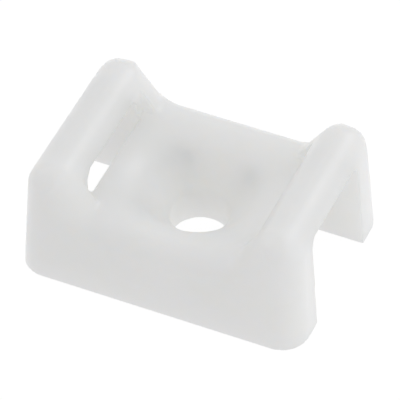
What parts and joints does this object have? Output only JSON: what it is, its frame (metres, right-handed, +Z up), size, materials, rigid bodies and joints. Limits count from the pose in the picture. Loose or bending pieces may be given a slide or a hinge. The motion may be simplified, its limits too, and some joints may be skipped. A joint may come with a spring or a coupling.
{
  "type": "cable tie mount",
  "caption": "Saddle-shaped nylon mount that a screw fixes to a panel, with a raised ridge and tie slot at each end to strap a cable bundle into its cradle.",
  "frame": {"origin": "middle of the foot, on the plane that lies on the panel", "axes": "+X along the mount from ridge to ridge, the way the tie runs; +Y across it, the way the cables run; +Z up from the panel"},
  "size_m": [0.0218, 0.0154, 0.0093],
  "materials": {
    "natural_nylon": "satin, milky translucent moulded nylon, uncoloured"
  },
  "bodies": {
    "root": {"mount_body": "natural_nylon"}
  },
  "joints": []
}
